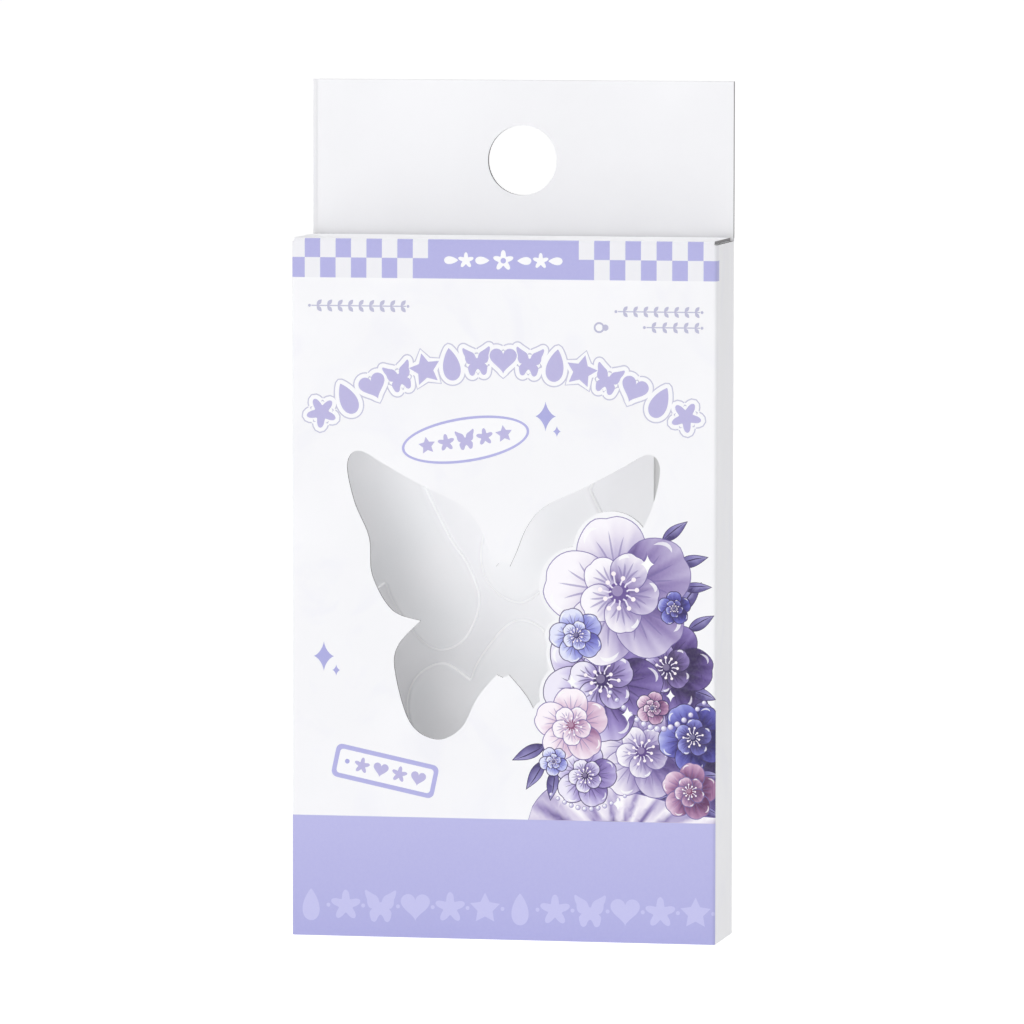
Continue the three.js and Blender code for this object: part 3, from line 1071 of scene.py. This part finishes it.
# Height of a sticker's face over its back, by distance from its edge
STICKER_PROFILE = ((0, 0.12), (0.06, 0.24), (0.16, 0.38), (0.30, 0.50), (0.50, 0.60), (0.75, 0.64),
                   (1.0, 0.62), (1.3, 0.57), (1.7, 0.55))
STICKER_DESIGN = 0.8  # the thickness that the profile is drawn for
FREE_STEP = 1.6
FREE_MARGIN = 1.9
HIGHLIGHT_LIP = 0.31  # width of the lip along a sticker's edge, which takes the painted highlight


def free_points(low, high, step):
    return [(low[0] + (i + 0.5 + 0.23 * (j % 2)) * step, low[1] + (j + 0.5) * step)
            for i in range(int((high[0] - low[0]) / step)) for j in range(int((high[1] - low[1]) / step))]


def sticker(node, materials):
    outline = sticker_outline(node)
    low, high = corners(node)
    rings = [side for d, _ in STICKER_PROFILE[1:] for side in sides(inset(outline, d))]
    free = free_points((low.x, low.z), (high.x, high.z), FREE_STEP)
    free = [p for p, d in zip(free, nearest(free, outline)) if d > FREE_MARGIN]
    points, triangles = triangulate(outline, (), rings, free)
    away = nearest(points, outline)
    height = np.interp(away, *zip(*STICKER_PROFILE)) * (high.y - low.y) / STICKER_DESIGN
    # Faces near the edge, and the rim, take the glowing gel: a painted highlight
    piece = flat_solid(node + "_gel", points, triangles, high.y - height, high.y, materials, away < HIGHLIGHT_LIP)
    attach(piece, "carton")
    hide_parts(node)


STICKERS = ("ear_sticker_left", "ear_sticker_right", "ear_sticker_lower")
SHEET_CORNER = 1.5

# The die's cut: distance from a sticker's edge, and depth there
CUT_STEPS = (0.0, 0.10, 0.18, 0.26)
CUT_DEPTHS = (0.02, 0.02, 0.01, 0)


def sheet(material):
    """The release sheet, with the shallow cut that the die left round each sticker."""
    low, high = SHEET_LOW, SHEET_HIGH
    middle = ((low.x + high.x) / 2, (low.z + high.z) / 2)
    outline = turned(rounded_box((high.x - low.x) / 2, (high.z - low.z) / 2, SHEET_CORNER, 8),
                     *middle, 0)
    cuts = [sticker_outline(n) for n in STICKERS]
    rings = [side for cut in cuts for d in CUT_STEPS for side in sides(inset(cut, -d))]
    points, triangles = triangulate(outline, (), rings)
    gap = np.min([nearest(points, cut) for cut in cuts], axis=0)
    outside = np.ones(len(points), bool)
    for cut in cuts:
        outside[held_by(np.array(points), np.array(cut))] = False
    depth = np.where(outside, np.interp(gap, CUT_STEPS, CUT_DEPTHS), CUT_DEPTHS[0])
    piece = flat_solid("release_sheet", points, triangles, low.y + depth, high.y, [material])
    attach(piece, "carton")
    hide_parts("sticker_sheet")


# Materials

class Nodes:
    """A short way to add nodes to a new material."""

    def __init__(self, name):
        self.material = bpy.data.materials.new(name)
        self.material.use_nodes = True
        self.tree = self.material.node_tree
        self.shader = self.tree.nodes["Principled BSDF"]
        self.place = self.add("ShaderNodeTexCoord").outputs["Object"]

    def add(self, kind, **inputs):
        node = self.tree.nodes.new(kind)
        for name, value in inputs.items():
            self.set(node.inputs[name.replace("_", " ")], value)
        return node

    def set(self, socket, value):
        if isinstance(value, bpy.types.NodeSocket):
            self.tree.links.new(value, socket)
        else:
            socket.default_value = value

    def noise(self, scale, detail, distortion=0.0):
        return self.add("ShaderNodeTexNoise", Vector=self.place, Scale=scale, Detail=detail,
                        Distortion=distortion).outputs["Fac"]

    def between(self, value, low, high, to_low, to_high):
        node = self.add("ShaderNodeMapRange", Value=value)
        limits = {"From Min": low, "From Max": high, "To Min": to_low, "To Max": to_high}
        for name, number in limits.items():
            node.inputs[name].default_value = number
        return node.outputs["Result"]

    def mottle(self, scale, detail, low=0, high=1, reach=0.2):
        """Noise drawn out between two values. The smaller its reach, the harder its edges."""
        return self.between(self.noise(scale, detail), 0.5 - reach, 0.5 + reach, low, high)

    def clouded(self, tones, scale, detail):
        """A soft mottle of two colours."""
        return self.mixed(self.mottle(scale, detail, reach=0.15), *(rgba(tone) for tone in tones))

    def mixed(self, share, a, b):
        node = self.tree.nodes.new("ShaderNodeMix")
        node.data_type = "RGBA"
        self.set(node.inputs["Factor"], share)
        self.set(node.inputs["A"], a)
        self.set(node.inputs["B"], b)
        return next(o for o in node.outputs if o.type == "RGBA")

    def look(self, **inputs):
        """Set or link the shader's own sockets, written with _ for a space."""
        for name, value in inputs.items():
            self.set(self.shader.inputs[name.replace("_", " ")], value)

    def bump(self, height, strength, distance):
        node = self.add("ShaderNodeBump", Height=height, Strength=strength, Distance=distance)
        self.look(Normal=node.outputs["Normal"])


def rgba(colour):
    return (*linear(colour), 1.0)


# Surface colours, for paper and gel the lighter and the darker of a faint mottle
INSIDE = (222, 222, 222)
# A lighter copy of the inside colour, for the front panel's inner face: painted light, with the painted
# glow below
PAINTED_LIT_INSIDE = (244, 244, 245)
# The cut edge is grey: partly the board's grey core, partly painted shade for the shaded cut edges round
# the window and the hole
CUT_EDGE = (150, 149, 150)
SWIRL_TONE = (242, 242, 248)
PAPER_TONES = ((247, 247, 249), (243, 243, 246))
GEL_TONES = ((249, 249, 251), (246, 247, 249))
# Painted light: the front panel's inner face glows in place of light that comes through the board, and the
# glow is weaker to the left and low down
PAINTED_GLOW_LOW = 0.3  # share of the painted glow at the left and low down, which leaves painted shade there
PAINTED_GLOW_SPAN = 0.019  # metres to the right over which the painted glow grows to full
PAINTED_GLOW_LEAN = 0.5
PAINTED_GLOW_STRENGTH = 0.46
# Painted highlight: the glow of the gel along each sticker's lip and rim
LIP_HIGHLIGHT_GLOW = 0.13


def board_material(name, colour, roughness, grain, printed=False, through=0.0):
    """Coated boxboard: a faint mottle, a fine grain, and the ink where the face is printed. With through,
    the face glows: painted light standing in for light that comes through the board. The glow is weaker to
    the left and low down, where it leaves painted shade, and grows to the right and upwards."""
    n = Nodes(name)
    base = n.clouded((colour, [c - 3 for c in colour]), scale=60, detail=5)
    if printed:
        swirl = n.between(n.noise(scale=45, detail=3, distortion=2.6), 0.52, 0.70, 0, 0.5)
        base = n.mixed(swirl, base, rgba(SWIRL_TONE))
        ink = n.add("ShaderNodeVertexColor")
        ink.layer_name = "ink"
        dust = n.mottle(scale=2600, detail=2, high=0.03)
        speckled = n.mixed(dust, ink.outputs["Color"], rgba(BRIGHT))
        base = n.mixed(ink.outputs["Alpha"], base, speckled)
    rough = n.mottle(scale=900, detail=3, low=roughness - 0.05, high=roughness + 0.05)
    n.look(Base_Color=base, Roughness=rough, Specular_IOR_Level=0.4)
    # Painted light: an emission ramped by the object's x and z, standing in for light through the board
    if through:
        place = n.add("ShaderNodeSeparateXYZ", Vector=n.place)
        lean = n.tree.nodes.new("ShaderNodeMath")
        lean.operation = "MULTIPLY_ADD"
        for socket, value in zip(lean.inputs, (place.outputs["Z"], PAINTED_GLOW_LEAN, place.outputs["X"])):
            n.set(socket, value)
        glow = n.between(lean.outputs[0], 0, PAINTED_GLOW_SPAN, PAINTED_GLOW_LOW, 1)
        n.look(Emission_Color=glow, Emission_Strength=through)
    n.bump(n.noise(scale=1800, detail=3), strength=grain, distance=0.00002)
    return n.material


def fibre_material(name, colour):
    """The cut edge of the board, with its pressed fibres. Its grey is partly the board's grey core and
    partly painted shade.
    """
    n = Nodes(name)
    fibres = n.mottle(scale=5200, detail=4)
    base = n.mixed(fibres, rgba(colour), rgba([c - 12 for c in colour]))
    n.look(Base_Color=base, Roughness=0.85)
    n.bump(fibres, strength=0.3, distance=0.00004)
    return n.material


def paper_material(name):
    """Smooth release paper."""
    n = Nodes(name)
    rough = n.mottle(scale=700, detail=2, low=0.42, high=0.52)
    n.look(Base_Color=n.clouded(PAPER_TONES, scale=80, detail=4), Roughness=rough)
    n.bump(n.noise(scale=1500, detail=2), strength=0.12, distance=0.00002)
    return n.material


def gel_material(name, glow=0.0):
    """Frosted gel: pale, slightly cool, with a fine matte texture and a soft sheen on top. With glow the
    material glows a little: a painted highlight, used along the sticker's lip."""
    n = Nodes(name)
    rough = n.mottle(scale=1400, detail=2, low=0.30, high=0.44)
    n.look(Base_Color=n.clouded(GEL_TONES, scale=120, detail=4), Roughness=rough, IOR=1.42,
           Coat_Weight=0.15, Coat_Roughness=0.4, Emission_Color=PLAIN_LIGHT, Emission_Strength=glow)
    n.bump(n.noise(scale=2400, detail=2), strength=0.15, distance=0.00003)
    return n.material


# Camera, floor and light. Azimuth, elevation and roll are degrees; the floor and lights are metres.
CAMERA_TURNS = (11.088, 4.246, 0.071)
CAMERA_TARGET = (-0.17, 0, 74.02)
CAMERA_DISTANCE = 1570.3
CAMERA_LENS = 316.4
FLOOR_HALF = 60
FLOOR_DROP = 0.00002
FLOOR_COLOUR = (0.40, 0.40, 0.41, 1)
FLOOR_GLOW = 0.875
PLAIN_LIGHT = (1, 1, 1, 1)
SKY_COLOUR = (0.985, 0.985, 1.0, 1)
SKY_STRENGTH = 0.33
LIGHT_AIM = (0, 0, 0.07)
LIGHT_SIZE = 1.0
LIGHTS = (("front softbox", (-0.60, -1.25, 0.42), 4.6), ("top softbox", (-0.1, -0.2, 1.5), 10))


def make_camera():
    azimuth, elevation, roll = (radians(a) for a in CAMERA_TURNS)
    data = bpy.data.cameras.new("camera")
    data.lens = CAMERA_LENS
    data.sensor_width = 36
    data.clip_start = 0.01
    data.clip_end = 200
    camera = bpy.data.objects.new("camera", data)
    turn = (Matrix.Rotation(azimuth, 4, "Z") @ Matrix.Rotation(pi / 2 - elevation, 4, "X")
            @ Matrix.Rotation(roll, 4, "Z"))
    camera.matrix_world = (Matrix.Translation(Vector(CAMERA_TARGET) * MM) @ turn
                           @ Matrix.Translation((0, 0, CAMERA_DISTANCE * MM)))
    bpy.context.scene.collection.objects.link(camera)
    bpy.context.scene.camera = camera


def make_floor():
    mesh = bpy.data.meshes.new("floor")
    square = [(sx * FLOOR_HALF, sy * FLOOR_HALF, 0) for sx, sy in ((-1, -1), (1, -1), (1, 1), (-1, 1))]
    mesh.from_pydata(square, [], [(0, 1, 2, 3)])
    floor = bpy.data.objects.new("floor", mesh)
    floor.location.z = -FLOOR_DROP
    bpy.context.scene.collection.objects.link(floor)
    n = Nodes("studio floor")
    n.look(Base_Color=FLOOR_COLOUR, Roughness=0.9, Emission_Color=PLAIN_LIGHT,
           Emission_Strength=FLOOR_GLOW)
    mesh.materials.append(n.material)


def soft_light(name, place, power):
    data = bpy.data.lights.new(name, "AREA")
    data.shape = "SQUARE"
    data.size = LIGHT_SIZE
    data.energy = power
    light = bpy.data.objects.new(name, data)
    light.location = place
    light.rotation_mode = "QUATERNION"
    light.rotation_quaternion = (Vector(place) - Vector(LIGHT_AIM)).to_track_quat("Z", "Y")
    bpy.context.scene.collection.objects.link(light)


def make_light():
    world = bpy.data.worlds.new("studio")
    world.use_nodes = True
    background = world.node_tree.nodes["Background"]
    background.inputs["Color"].default_value = SKY_COLOUR
    background.inputs["Strength"].default_value = SKY_STRENGTH
    bpy.context.scene.world = world
    for row in LIGHTS:
        soft_light(*row)
    bpy.context.scene.view_settings.view_transform = "Standard"


make_camera()
make_floor()
make_light()

coated = board_material("coated board", WHITE, roughness=0.5, grain=0.10)
printed = board_material("printed board", WHITE, roughness=0.45, grain=0.08, printed=True)
uncoated = board_material("board inside", INSIDE, roughness=0.75, grain=0.25)
# The front panel's inner face: a lighter copy of the inside board with a painted glow standing in for
# light through the board
painted_glow_inside = board_material("board inside, painted glow of light through it", PAINTED_LIT_INSIDE, roughness=0.75,
                            grain=0.25, through=PAINTED_GLOW_STRENGTH)
cut_edge = fibre_material("board edge", CUT_EDGE)

carton_wrap([printed, uncoated, cut_edge, painted_glow_inside])
top_lid([coated, uncoated, cut_edge])
lid_crease([printed, uncoated, cut_edge])
for node, axis, face_material in (("hang_tab_front_ply", 1, coated), ("bottom_panel", 2, uncoated)):
    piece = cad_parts[node]
    piece.data.materials.clear()
    piece.data.materials.append(face_material)
    piece.data.materials.append(cut_edge)
    for face in piece.data.polygons:
        face.material_index = 0 if abs(face.normal[axis]) > 0.5 else 1
sheet(paper_material("release paper"))
# The second gel glows: a painted highlight along each sticker's lip and rim
gel = [gel_material("frosted gel"), gel_material("frosted gel lip with painted highlight", glow=LIP_HIGHLIGHT_GLOW)]
for node in STICKERS:
    sticker(node, gel)
